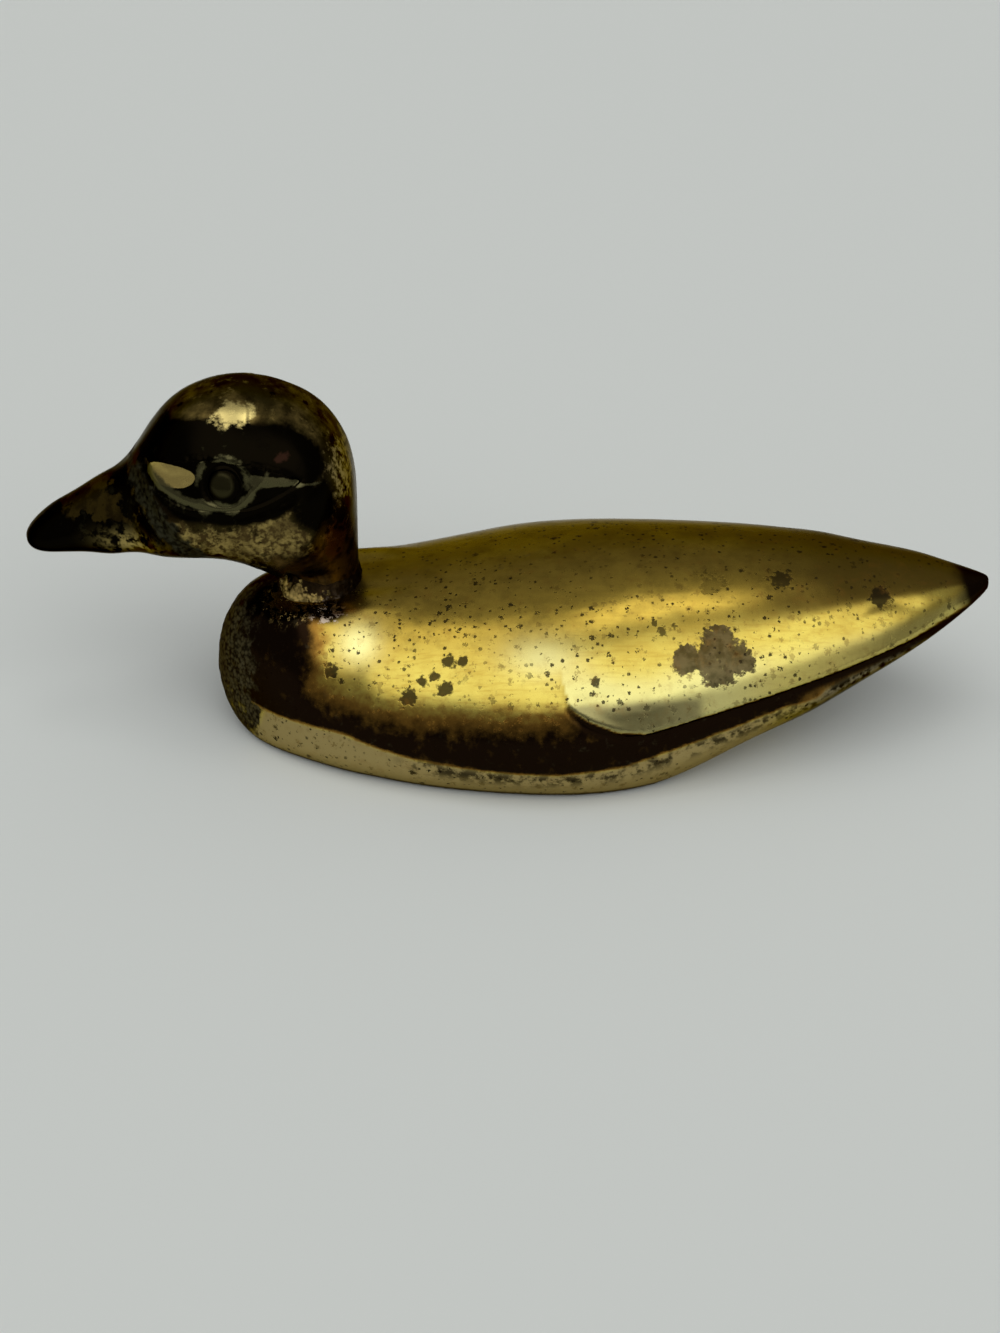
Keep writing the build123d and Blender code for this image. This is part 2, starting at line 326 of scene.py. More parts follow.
def makePolishLines():
    # faint hand-polishing lines along the duck
    group, given, out = newGroup(
        "polishLines",
        [("Size", "NodeSocketFloat", 0.3), ("Stretch", "NodeSocketFloat", 0.08),
         ("Seed", "NodeSocketFloat", 0.0)],
        [("Value", "NodeSocketFloat")])
    coords = sizedCoords(group, given.outputs["Size"], given.outputs["Seed"])
    split = put(group, "ShaderNodeSeparateXYZ")
    feed(group, split, 0, coords)
    joined = put(group, "ShaderNodeCombineXYZ")
    feed(group, joined, "X", maths(group, "MULTIPLY", split.outputs["X"], given.outputs["Stretch"]))
    feed(group, joined, "Y", split.outputs["Y"])
    feed(group, joined, "Z", split.outputs["Z"])
    lines = put(group, "ShaderNodeTexNoise")
    feed(group, lines, "Vector", joined)
    feed(group, lines, "Scale", 1.0)
    feed(group, lines, "Detail", 3.0)
    feed(group, out, "Value", lines.outputs[0])
    return group


tarnishClouds = makeTarnishClouds()
tarnishSpecks = makeTarnishSpecks()
stainSpot = makeStainSpot()
castGrain = makeCastGrain()
polishLines = makePolishLines()
print("node groups made")


def newMaterial(name):
    material = bpy.data.materials.new(name)
    material.use_nodes = True
    tree = material.node_tree
    shader = tree.nodes["Principled BSDF"]
    return material, tree, shader


def painted(tree, name):
    made = put(tree, "ShaderNodeAttribute", attribute_name=name)
    return made.outputs["Fac"]


def most(tree, masks):
    total = masks[0]
    for mask in masks[1:]:
        total = maths(tree, "MAXIMUM", total, mask)
    return total


def frayed(tree, mask, rag, amount, low=0.4, high=0.6):
    # a painted mask with its edge broken up by a noise
    shift = maths(tree, "MULTIPLY", maths(tree, "SUBTRACT", rag, 0.5), amount)
    return mapped(tree, maths(tree, "ADD", mask, shift), low, high)


def part(tree, mask, share):
    return maths(tree, "MULTIPLY", mask, share)


def pitted(tree, shader, height, strength, depth):
    bump = put(tree, "ShaderNodeBump")
    feed(tree, bump, "Height", height)
    bump.inputs["Strength"].default_value = strength
    bump.inputs["Distance"].default_value = depth * mm
    feed(tree, shader, "Normal", bump)


def bareMetal(shader, edge):
    shader.inputs["Metallic"].default_value = 1.0
    shader.inputs["Specular Tint"].default_value = (*edge, 1)


# worn gold patch and crumbs of flux at the root of the neck, shared by the pieces that meet there
neckPatches = {
    "scraped": [((-29.0, -5.4, 19.8), (3.1, 3.0, 2.1), 1.0)],
    "flux": [((-23.6, -7.3, 18.7), (2.8, 2.2, 1.4), 1.0)],
}


# Body: polished brass, black low on the flanks from tarnish and a painted dark reflection, matte cast skin on
# the breast
bodyLook = {
    "voxel": 0.34,
    "relax": [(1.0, 1), (-1.06, 1)] * 10,  # the second step gives back the size the first one takes
    "gold": (0.56, 0.455, 0.090),
    "deepGold": (0.40, 0.275, 0.042),
    "backGold": (0.42, 0.285, 0.041),
    "olive": (0.165, 0.108, 0.020),
    "tailOlive": (0.105, 0.068, 0.011),
    "wingGoldAndHighlight": (0.60, 0.55, 0.20),
    "wingGreyAndReflection": (0.27, 0.24, 0.098),
    "beltGold": (0.42, 0.325, 0.13),
    "blackTarnishAndPaintedShade": (0.011, 0.0055, 0.0025),
    "brownFringeAndReflection": (0.22, 0.105, 0.017),
    "stain": (0.088, 0.064, 0.030),
    "stainDark": (0.032, 0.022, 0.010),
    "freckle": (0.13, 0.080, 0.016),
    "smudge": (0.105, 0.068, 0.013),
    "speck": (0.014, 0.010, 0.005),
    "underGrey": (0.26, 0.215, 0.125),
    "rootGold": (0.42, 0.29, 0.095),
    "flux": (0.36, 0.29, 0.22),
    "castGrey": (0.080, 0.066, 0.034),
    "castDark": (0.014, 0.011, 0.006),
    # colour of the painted highlights
    "pale": (0.72, 0.66, 0.27),
    "edge": (0.46, 0.40, 0.27),
    "roughness": 0.13,
    "shoulderTilt": (44, 64),  # degrees that a face leans upwards where the brown film and its painted dark reflection start and are full
    "topTilt": (60, 86),
    "footShadowHeight": (1.3, 0.7),  # lengths here and below are in millimetres
    "breastPlace": (-31.5, -37.5),
    "castPlace": (-33.0, -36.5),
    "neckPlace": -24.8,
    "neckSwell": 1.3,
    "wingGroove": (0.14, 0.7, 0.6),  # depth, place below the wing's edge and width
    "wingLip": (0.06, 0.4, 0.6),  # height, place above the wing's edge and width
    "skinLumps": [(0.05, 9.0, 1), (0.02, 3.5, 2)],
    "castLumps": [(0.08, 1.3, 3), (0.05, 0.7, 4)],
}

# lower edge of the wing and upper edge of the belt seen from the side, millimetres along and up
wingEdgeX = [6.5, 7.4, 9.6, 13.4, 17.5, 29.0, 40.5, 52.0, 63.5]
wingEdgeZ = [16.5, 13.9, 12.3, 10.7, 10.2, 12.4, 14.3, 16.2, 19.1]
beltEdgeX = [-32.0, -22.0, -12.0, 6.0, 14.0, 35.0]
beltEdgeZ = [6.5, 7.1, 5.5, 4.9, 5.4, 10.6]

# broad mottled stains and small dark marks, the first five and fourteen on the photographed flank:
# place and reach in millimetres, and strength
bodyStains = [
    ((26.2, -16.6, 17.6), 3.7, 1.0),
    ((22.4, -16.8, 18.0), 2.4, 1.0),
    ((28.8, -16.0, 17.4), 2.6, 1.0),
    ((26.4, -15.2, 19.6), 2.6, 1.0),
    ((25.6, -16.0, 18.4), 2.4, 1.0),
    ((3.0, 17.5, 15.5), 3.6, 1.0),
    ((5.2, 17.0, 16.5), 2.4, 1.0),
    ((30.0, 14.0, 18.0), 2.6, 0.8),
]
bodyMarks = [
    ((-12.8, -18.4, 13.3), 1.7, 1.0),
    ((-11.4, -17.3, 15.2), 0.9, 1.0),
    ((-9.8, -17.2, 15.6), 0.9, 1.0),
    ((-8.4, -18.7, 14.6), 1.2, 1.0),
    ((-7.9, -15.9, 17.2), 1.3, 1.0),
    ((-6.2, -16.2, 17.3), 0.8, 1.0),
    ((34.9, -6.5, 23.9), 1.9, 0.9),
    ((48.0, -7.0, 21.3), 1.9, 1.0),
    ((10.6, -19.6, 16.4), 1.0, 1.0),
    ((26.0, -8.0, 23.9), 2.2, 0.45),
    ((-23.2, -13.4, 14.0), 1.6, 1.0),
    ((19.2, -14.4, 20.6), 0.9, 0.9),
    ((20.7, -13.6, 20.9), 0.8, 0.8),
    ((18.3, -13.4, 21.2), 0.6, 0.9),
    ((-14.0, 15.0, 16.5), 1.8, 1.0),
    ((12.0, 20.8, 14.0), 1.2, 1.0),
    ((41.0, 8.0, 21.5), 1.9, 0.8),
]

# painted highlights on the flank and beside the neck: pale patches standing in for bright reflections
bodyPatches = {
    "hazeHighlight": [((4.2, -17.2, 18.4), (4.5, 4, 1.8), 1.0)],
    "glint": [((-19.5, -11.7, 16.8), (2.6, 3, 2.2), 1.0)],
}


def coreClosure(bm):
    # a disc above the base plate shuts the cored hollow off from the outside
    low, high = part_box("base_plate")
    centre = (low + high) / 2
    made = bmesh.ops.create_cone(bm, cap_ends=True, segments=64, radius1=1, radius2=1, depth=1)
    for vert in made["verts"]:
        vert.co.x = centre.x + vert.co.x * (high.x - low.x) / 2
        vert.co.y = centre.y + vert.co.y * (high.y - low.y) / 2
        vert.co.z = high.z + (1.0 + vert.co.z) * mm


def wingSide(points):
    # above 0 on the wing, in millimetres up from its lower edge
    edge = np.interp(points[:, 0], wingEdgeX, wingEdgeZ)
    ahead = (points[:, 0] - wingEdgeX[0]) * 2.0
    return np.minimum(points[:, 2] - edge, ahead)


def paintBody(mesh, points, tilt, above):
    x, z = points[:, 0], points[:, 2]
    belowWing = 1 - ramp(-0.3, 0.2, above)
    overEdge = z - np.interp(x, wingEdgeX, wingEdgeZ)
    overBelt = z - np.interp(x, beltEdgeX, beltEdgeZ)
    lobe = 1 - ramp(15.5, 19.0, z) * ramp(24, 12, x)
    onWing = ramp(-0.1, 0.3, above) * lobe
    rim = np.interp(x, [24, 56], [8.0, 2.4])
    # the wing's lower side: paler brass with a painted highlight; low on its front, greyer brass with a
    # painted reflection
    paint(mesh, "wingPaleAndHighlight", onWing * ramp(1.0, 0.5, overEdge / rim) * (1 - 0.6 * ramp(26, 36, x)))
    lowWing = ramp(14.5, 13.5, z + 0.4 * lumps(points, 4.0, 6))
    paint(mesh, "wingLowAndReflection", onWing * lowWing * ramp(25.2, 23.4, x))
    byNeck = blob(points, (-22, 0, 20), (10, 14, 6))
    # the black band is tarnish and a painted dark reflection, on faces that lean to the side or down and on
    # the front of the breast
    lowSide = (1 - ramp(12, 40, tilt)) * (1 - byNeck)
    fromFront = x + 25.4 - 0.1 * (z - 13.1)
    blackBandAndReflection = ramp(-0.1, 0.5, overBelt) * np.maximum(lowSide, 1.1 * ramp(3.2, -3.4, fromFront)) * belowWing
    under = ramp(34, 42, x) * belowWing * ramp(12, -6, tilt)
    paint(mesh, "blackBandAndReflection", blackBandAndReflection * (1 - under))
    paint(mesh, "under", under)
    # painted shade in the crease under the wing's lower edge
    paint(mesh, "creaseShade", ramp(0.15, -0.25, above) * ramp(-2.6, -1.2, above) * ramp(6.0, 9.0, x) * lobe)
    fromBeltEnd = x + 33.0 - 0.45 * (z - 5)
    paint(mesh, "belt", ramp(0.2, -0.2, overBelt) * ramp(-0.6, 0.6, fromBeltEnd) * ramp(40, 30, x))
    paint(mesh, "beltEdge", ridge(overBelt + 0.9, 1.3) * ramp(-17, -10, x))
    # a painted contact shadow along the foot, darkest next to the table
    paint(mesh, "footShadow", ramp(*bodyLook["footShadowHeight"], z))
    belowBelt = ramp(0.4, -0.6, fromBeltEnd) * ramp(0.6, -0.2, overBelt)
    paint(mesh, "breast", np.maximum(ramp(*bodyLook["breastPlace"], x), belowBelt))
    # brown tarnish film and a painted dark reflection, stronger as faces lean up
    paint(mesh, "shoulderFilmAndReflection", ramp(*bodyLook["shoulderTilt"], tilt))
    paint(mesh, "topSideFilmAndReflection", ramp(*bodyLook["topTilt"], tilt))
    paint(mesh, "tailTopFilmAndReflection", ramp(24, 44, x) * ramp(46, 54, tilt))
    paint(mesh, "tailEnd", ramp(58.4, 60.6, x + 0.7 * lumps(points, 2.4, 8) + 0.3 * (z - 19)))
    paintPatches(mesh, points, bodyPatches | neckPatches)


def makeBody():
    body = evenSkin("body_casting", "bodyCasting", bodyLook["voxel"], bodyLook["relax"], coreClosure)
    points, normals = readPoints(body.data)
    x, y, z = points.T
    tilt = np.degrees(np.arcsin(np.clip(normals[:, 2], -1, 1)))
    above = wingSide(points)
    alongWing = ramp(5.5, 8.0, x) * (1 - ramp(52, 61, x)) * (1 - ramp(15.0, 18.5, z) * ramp(24, 12, x))
    breast = ramp(*bodyLook["castPlace"], x)
    rise = unevenness(points, bodyLook["skinLumps"])
    depth, below, width = bodyLook["wingGroove"]
    rise -= depth * ridge(above + below, width) * alongWing
    height, over, width = bodyLook["wingLip"]
    rise += height * ridge(above - over, width) * alongWing
    rise += breast * unevenness(points, bodyLook["castLumps"])
    fromNeck = np.hypot(x - bodyLook["neckPlace"], y)
    besideNeck = ramp(16, 5, fromNeck) * ramp(3, 8, np.abs(y)) * ramp(-33, -27, x)
    rise += bodyLook["neckSwell"] * besideNeck * ramp(10, 14, z)
    outside = 1 - ramp(0.2, 1.2, -normals[:, 2] * 2)
    low, high = [np.array(corner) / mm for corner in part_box("body_casting")]
    writePoints(body.data, np.clip(points + normals * (rise * outside)[:, None], low, high))
    paintBody(body.data, points, tilt, above)
    return body


def bodyMetal(tree, look):
    # clean metal: gold that deepens in clouds, a brown tarnish film with a painted dark reflection over the
    # back, the paler wing with a painted highlight, painted highlights on the flank, and the belt
    clouds = placed(tree, tarnishClouds, Size=9.0, Level=0.5, Softness=0.16, Seed=1.0)
    colour = tint(tree, look["gold"], look["deepGold"], part(tree, clouds, 0.7))
    lines = placed(tree, polishLines, Size=0.4, Stretch=0.05, Seed=2.0)
    colour = tint(tree, colour, look["deepGold"], mapped(tree, lines, 0.45, 0.75, 0.0, 0.6))
    film = placed(tree, tarnishClouds, Size=6.0, Level=0.45, Softness=0.25, Seed=4.0)
    patchy = mapped(tree, film, 0.0, 1.0, 0.66, 1.0)
    tops = most(tree, [painted(tree, "topSideFilmAndReflection"), painted(tree, "tailTopFilmAndReflection")])
    filmAndDarkReflection = maths(tree, "MULTIPLY", tops, patchy)
    colour = tint(tree, colour, look["backGold"], part(tree, painted(tree, "shoulderFilmAndReflection"), 0.9))
    colour = tint(tree, colour, look["olive"], filmAndDarkReflection)
    colour = tint(tree, colour, look["tailOlive"], part(tree, painted(tree, "tailTopFilmAndReflection"), 0.8))
    smudges = placed(tree, tarnishClouds, Size=3.4, Level=0.55, Softness=0.12, Seed=37.0)
    smudged = maths(tree, "MULTIPLY", smudges, painted(tree, "shoulderFilmAndReflection"))
    colour = tint(tree, colour, look["smudge"], part(tree, smudged, 0.35))
    # painted highlight on the paler wing, painted reflection low on its front
    colour = tint(tree, colour, look["wingGoldAndHighlight"], painted(tree, "wingPaleAndHighlight"))
    colour = tint(tree, colour, look["wingGreyAndReflection"], painted(tree, "wingLowAndReflection"))
    # painted highlights: pale patches on the flank and beside the neck
    pale = most(tree, [part(tree, painted(tree, "hazeHighlight"), 0.8), painted(tree, "glint")])
    colour = tint(tree, colour, look["pale"], pale)
    colour = tint(tree, colour, look["beltGold"], painted(tree, "belt"))
    colour = tint(tree, colour, look["underGrey"], painted(tree, "under"))
    return colour, filmAndDarkReflection, lines


def bodyBand(tree, look, colour):
    # black tarnish and a painted dark reflection low on the flank with a brown fringe, painted shade in the
    # crease under the wing, a painted contact shadow along the foot, speckled under the tail
    rag = placed(tree, tarnishClouds, Size=1.7, Level=0.5, Softness=0.35, Seed=7.0)
    fringe = frayed(tree, painted(tree, "blackBandAndReflection"), rag, 0.45, 0.0, 0.5)
    black = frayed(tree, painted(tree, "blackBandAndReflection"), rag, 0.45, 0.36, 0.95)
    # brown fringe and black band: tarnish and a painted dark reflection
    colour = tint(tree, colour, look["brownFringeAndReflection"], part(tree, fringe, 0.92))
    colour = tint(tree, colour, look["blackTarnishAndPaintedShade"], black)
    crumbs = placed(tree, tarnishClouds, Size=1.6, Level=0.5, Softness=0.08, Seed=17.0)
    rough = most(tree, [painted(tree, "under"), part(tree, painted(tree, "beltEdge"), 0.9)])
    colour = tint(tree, colour, look["speck"], maths(tree, "MULTIPLY", rough, crumbs))
    # a painted contact shadow along the foot and painted shade in the crease, with the black tail tip
    footShadow = part(tree, painted(tree, "footShadow"), 0.8)
    dirtAndShade = most(tree, [painted(tree, "creaseShade"), painted(tree, "tailEnd"), footShadow])
    colour = tint(tree, colour, look["blackTarnishAndPaintedShade"], dirtAndShade)
    fine = placed(tree, tarnishClouds, Size=0.8, Level=0.5, Softness=0.08, Seed=43.0)
    colour = tint(tree, colour, look["blackTarnishAndPaintedShade"], mapped(tree, painted(tree, "flux"), 0.2, 0.7))
    worn = frayed(tree, painted(tree, "scraped"), fine, 0.5, 0.27, 0.55)
    colour = tint(tree, colour, look["rootGold"], worn)
    flux = frayed(tree, painted(tree, "flux"), fine, 0.9, 0.75, 0.95)
    return tint(tree, colour, look["flux"], flux)


def spotted(tree, spots, crumb, core, ragged):
    # spots that crumble towards their edges
    crumbs = placed(tree, tarnishClouds, Size=crumb, Level=0.5, Softness=0.3, Seed=19.0)
    masks = []
    for place, reach, strength in spots:
        spot = placed(tree, stainSpot, Place=place, Reach=reach, Core=core, Ragged=ragged)
        masks.append(part(tree, frayed(tree, spot, crumbs, 0.8, 0.25, 0.75), strength))
    return most(tree, masks)


def bodySpecks(tree):
    where = placed(tree, tarnishClouds, Size=14.0, Level=0.43, Softness=0.12, Seed=31.0)
    small = placed(tree, tarnishSpecks, Size=1.15, Share=0.26, Ragged=1.1, Seed=2.0)
    tiny = placed(tree, tarnishSpecks, Size=0.65, Share=0.4, Ragged=0.9, Seed=9.0)
    clustered = maths(tree, "MULTIPLY", small, where)
    scattered = maths(tree, "MULTIPLY", tiny, mapped(tree, where, 0.0, 1.0, 0.45, 1.0))
    return most(tree, [clustered, scattered, spotted(tree, bodyMarks, 0.8, 0.3, 1.5)])


def makeBodyBrass():
    material, tree, shader = newMaterial("bodyBrass")
    look = bodyLook
    colour, filmAndDarkReflection, lines = bodyMetal(tree, look)
    freckles = placed(tree, tarnishSpecks, Size=1.2, Share=0.55, Ragged=1.2, Seed=26.0)
    colour = tint(tree, colour, look["freckle"], part(tree, freckles, 0.45))
    stains = spotted(tree, bodyStains, 0.6, 0.6, 0.8)
    specks = bodySpecks(tree)
    mottle = placed(tree, tarnishClouds, Size=1.5, Level=0.5, Softness=0.14, Seed=13.0)
    stain = tint(tree, look["stain"], look["stainDark"], mottle)
    colour = tint(tree, colour, stain, part(tree, stains, 0.93))
    colour = tint(tree, colour, look["speck"], part(tree, specks, 0.9))
    colour = bodyBand(tree, look, colour)
    grain = placed(tree, castGrain, Size=0.6, Seed=3.0)
    rag = placed(tree, tarnishClouds, Size=1.6, Level=0.5, Softness=0.25, Seed=23.0)
    skin = frayed(tree, painted(tree, "breast"), rag, 0.9, 0.25, 0.85)
    crust = tint(tree, look["castGrey"], look["castDark"], grain.outputs["Mask"])
    colour = tint(tree, colour, crust, skin)
    feed(tree, shader, "Base Color", colour)
    dull = most(tree, [part(tree, stains, 0.6), part(tree, specks, 0.5), skin, painted(tree, "belt")])
    sheen = maths(tree, "ADD", look["roughness"], part(tree, lines, 0.08))
    hazy = maths(tree, "ADD", sheen, part(tree, most(tree, [filmAndDarkReflection, painted(tree, "hazeHighlight")]), 0.14))
    feed(tree, shader, "Roughness", maths(tree, "ADD", hazy, part(tree, dull, 0.3)))
    bareMetal(shader, look["edge"])
    sunk = part(tree, most(tree, [stains, specks]), -0.35)
    grainy = maths(tree, "MULTIPLY", grain.outputs["Height"], skin)
    pitted(tree, shader, maths(tree, "ADD", sunk, grainy), 0.5, 0.12)
    return material


body = makeBody()
body.data.materials.append(makeBodyBrass())
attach(body, "root")
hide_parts("body_casting")
print("body made:", len(body.data.polygons), "faces")


# Head: dark brown brass worn bright on the crown, cheeks and bill
headLook = {
    "voxel": 0.22,
    "relax": [(0.5, 7)],
    "eyeCentre": (-36.9, 39.7),
    "eyeLength": 22.0,
    "eyeOpening": 6.4,
    "pupil": (-35.8, 40.0),
    "billRoot": (-44.3, 34.0),  # a point on the line where the bill meets the face
    "billSlant": (0.78, 0.62),  # how that line's distance goes with length and with height
    "tipPlace": (-57.5, -60.5),
    "gold": (0.50, 0.38, 0.118),
    "lid": (0.088, 0.080, 0.035),
    "dullGold": (0.075, 0.048, 0.016),
    "haloGold": (0.21, 0.148, 0.042),
    "napeTan": (0.36, 0.27, 0.10),
    "brown": (0.015, 0.009, 0.0028),
    "olive": (0.038, 0.028, 0.0075),
    "billOlive": (0.060, 0.040, 0.008),
    "neckBrown": (0.115, 0.069, 0.020),
    "black": (0.003, 0.0022, 0.001),
    "grey": (0.036, 0.034, 0.020),
    "copper": (0.13, 0.055, 0.013),
    "pale": (0.62, 0.50, 0.18),
    "rust": (0.016, 0.007, 0.004),
    "pupilOlive": (0.030, 0.026, 0.010),
    "edge": (0.42, 0.38, 0.29),
    "roughness": 0.17,
    "upperLid": 0.42,  # heights and depths of the carving, in millimetres
    "lowerLid": 0.20,
    "lidGroove": 0.24,
    "rearLid": 0.12,
    "pupilRing": (2.1, 0.28),  # radius and depth of the ring sunk round the pupil
    "pupilRim": (3.15, 0.14),  # radius and height of the rim outside it
    "pupilDome": (1.6, 0.20),  # radius and height
    "billGroove": 0.20,
    "billLip": 0.08,
    "skinLumps": [(0.04, 6.0, 11), (0.02, 2.2, 12)],
    "cheekLumps": [(0.04, 1.1, 13), (0.03, 0.6, 14)],
}

# worn and stained patches
headPatches = {
    "billFleck": [((-48.5, -7.5, 29.3), (3.4, 5, 1.5), 1.0)],
    "cheek": [
        ((-34.2, -11.0, 31.4), (8.0, 6, 2.8), 1.0),
        ((-28.6, -10.5, 33.6), (2.8, 5, 3.0), 0.8),
        ((-40.6, -9.8, 33.2), (1.6, 4, 1.6), 0.8),
    ],
    "domeSide": [
        ((-26.5, -4.6, 44.6), (4.0, 6, 2.8), 1.0),
        ((-39.5, -5.0, 45.8), (3.4, 5, 2.4), 0.8),
    ],
    "rust": [((-28.6, -9.0, 42.6), (1.3, 4, 0.8), 1.0)],
    "crown": [((-34.7, -5.4, 47.0), (3.5, 2.6, 2.0), 1.0)],
    "nape": [((-21.4, -4.5, 38.5), (2.6, 5, 4.0), 1.0)],
    "copper": [((-22.6, -6.5, 30.0), (1.6, 4, 3.6), 1.0)],
    "scraped": neckPatches["scraped"],
}


def eyeArcs(points):
    # distance outside the upper and lower arcs of the almond, below 0 inside it
    x = points[:, 0] - headLook["eyeCentre"][0]
    z = points[:, 2] - headLook["eyeCentre"][1]
    length, opening = headLook["eyeLength"], headLook["eyeOpening"]
    bow = (length ** 2 + opening ** 2) / (4 * opening)
    drop = bow - opening / 2
    return np.hypot(x, z + drop) - bow, np.hypot(x, z - drop) - bow


def billRoot(points):
    # distance from the slanted line where the bill meets the face, below 0 on the bill
    along, up = headLook["billRoot"]
    byLength, byHeight = headLook["billSlant"]
    return (points[:, 0] - along) * byLength - (up - points[:, 2]) * byHeight


def lowerLid(points):
    # distance from the middle of the lower lid, which leaves the arc towards both corners
    lower = eyeArcs(points)[1]
    x = points[:, 0]
    return lower + 0.62 + 0.55 * ramp(-37, -43, x) + 2.0 * ramp(-34.5, -30.5, x)


def rearLid(points):
    # the narrow band that runs from the pupil to the rear corner, above 0 inside it
    along = points[:, 0] + 31.5
    half = 0.85 - 0.09 * along
    return (half - np.abs(points[:, 2] - 40.2 + 0.17 * along)) * ramp(-33.0, -31.5, points[:, 0])


def paintEye(mesh, points, sideways):
    x, z = points[:, 0], points[:, 2]
    upper, lower = eyeArcs(points)
    inside = sideways * ramp(0.1, -0.25, np.maximum(upper, lower))
    fromPupil = np.hypot(x - headLook["pupil"][0], z - headLook["pupil"][1])
    strip = ridge(lowerLid(points), 0.78) * ramp(-46.5, -45, x) * ramp(-29.5, -31.0, x)
    ring = ridge(fromPupil - headLook["pupilRim"][0], 0.55) * ramp(38.6, 39.8, z)
    overGold = z - 40.3 - 0.08 * (x + 42.3)
    fromGold = np.hypot((x + 42.3) / 3.1, overGold / np.where(overGold > 0, 1.05, 1.4))
    # painted shade and patina inside the almond
    paint(mesh, "eyeShadeAndPatina", inside)
    paint(mesh, "eyeGold", sideways * ramp(1.15, 0.85, fromGold))
    rear = ramp(-0.1, 0.4, rearLid(points))
    paint(mesh, "eyeGrey", sideways * np.maximum.reduce([strip, rear, ring * 0.6]))
    paint(mesh, "pupilTop", sideways * ramp(1.6, 1.1, fromPupil))
    # painted shade and patina in the hollow under the lower lid
    underLid = ridge(lower - 0.9, 0.9) * ramp(-44, -40, x) * ramp(-23.5, -26, x)
    paint(mesh, "underLidShadeAndPatina", sideways * underLid)


def paintHead(mesh, points):
    x, z = points[:, 0], points[:, 2]
    root = billRoot(points)
    onFace = ramp(27, 29, z) * ramp(40.5, 38.0, z)
    paint(mesh, "billRoot", ramp(2.5, 0.7, np.abs(root - 0.4)) * onFace)
    paint(mesh, "bill", ramp(0.4, -0.6, root))
    lowEdge = ramp(33.0, 30.8, z) * ramp(-46.5, -50, x)
    paint(mesh, "billLow", np.maximum(lowEdge, 0.9 * ridge(root + 2.6, 2.0)))
    fromBand = np.hypot((x + 35.6) / 11.8, (z - 40.8) / 5.7)
    rearCheek = 0.9 * bothSides(points, (-24.6, -9.8, 36.4), (3.6, 5, 3.6))
    paint(mesh, "faceBand", np.maximum(ramp(1.2, 0.8, fromBand), rearCheek))
    paint(mesh, "neck", ramp(31.5, 28.0, z) * ramp(-32, -29, x))
    paint(mesh, "tip", ramp(*headLook["tipPlace"], x))
    paintPatches(mesh, points, headPatches)


def makeHead():
    head = evenSkin("head_casting", "headCasting", headLook["voxel"], headLook["relax"])
    points, normals = readPoints(head.data)
    x, z = points[:, 0], points[:, 2]
    look = headLook
    sideways = ramp(0.25, 0.5, np.abs(normals[:, 1]))
    upper, lower = eyeArcs(points)
    outline = np.maximum(upper, lower)
    fromPupil = np.hypot(x - look["pupil"][0], z - look["pupil"][1])
    root = billRoot(points)
    onFace = ramp(28, 30, z) * ramp(39.0, 36.5, z)
    rise = unevenness(points, look["skinLumps"])
    midEye = ramp(-46.0, -42.0, x) * ramp(-25.0, -28.5, x)
    rise += sideways * midEye * ramp(0.2, -0.2, outline) * look["upperLid"] * ramp(-2.6, -0.2, upper)
    alongLid = ramp(-46.0, -43.5, x) * ramp(-29.5, -31.5, x)
    rise += sideways * look["lowerLid"] * ridge(lowerLid(points), 0.75) * alongLid
    alongGroove = ramp(-45.5, -42.5, x) * ramp(-25.5, -28.5, x)
    rise -= sideways * look["lidGroove"] * ridge(lower - 0.6, 0.7) * alongGroove
    rise += sideways * look["rearLid"] * ramp(-0.9, 0.9, rearLid(points)) * ramp(-25.0, -27.5, x)
    radius, depth = look["pupilRing"]
    rise -= sideways * depth * ridge(fromPupil - radius, 0.6)
    radius, height = look["pupilRim"]
    rise += sideways * height * ridge(fromPupil - radius, 0.6)
    radius, height = look["pupilDome"]
    rise += sideways * height * np.clip(1 - (fromPupil / radius) ** 2, 0, 1)
    rise -= look["billGroove"] * ridge(root, 0.95) * onFace
    rise += look["billLip"] * ridge(root - 1.7, 0.7) * onFace
    cheek = bothSides(points, (-34, -11.5, 31.8), (8, 6, 3))
    rise += cheek * unevenness(points, look["cheekLumps"])
    outside = ramp(20.5, 22.5, z)
    writePoints(head.data, points + normals * (rise * outside)[:, None])
    paintEye(head.data, points, sideways)
    paintHead(head.data, points)
    return head


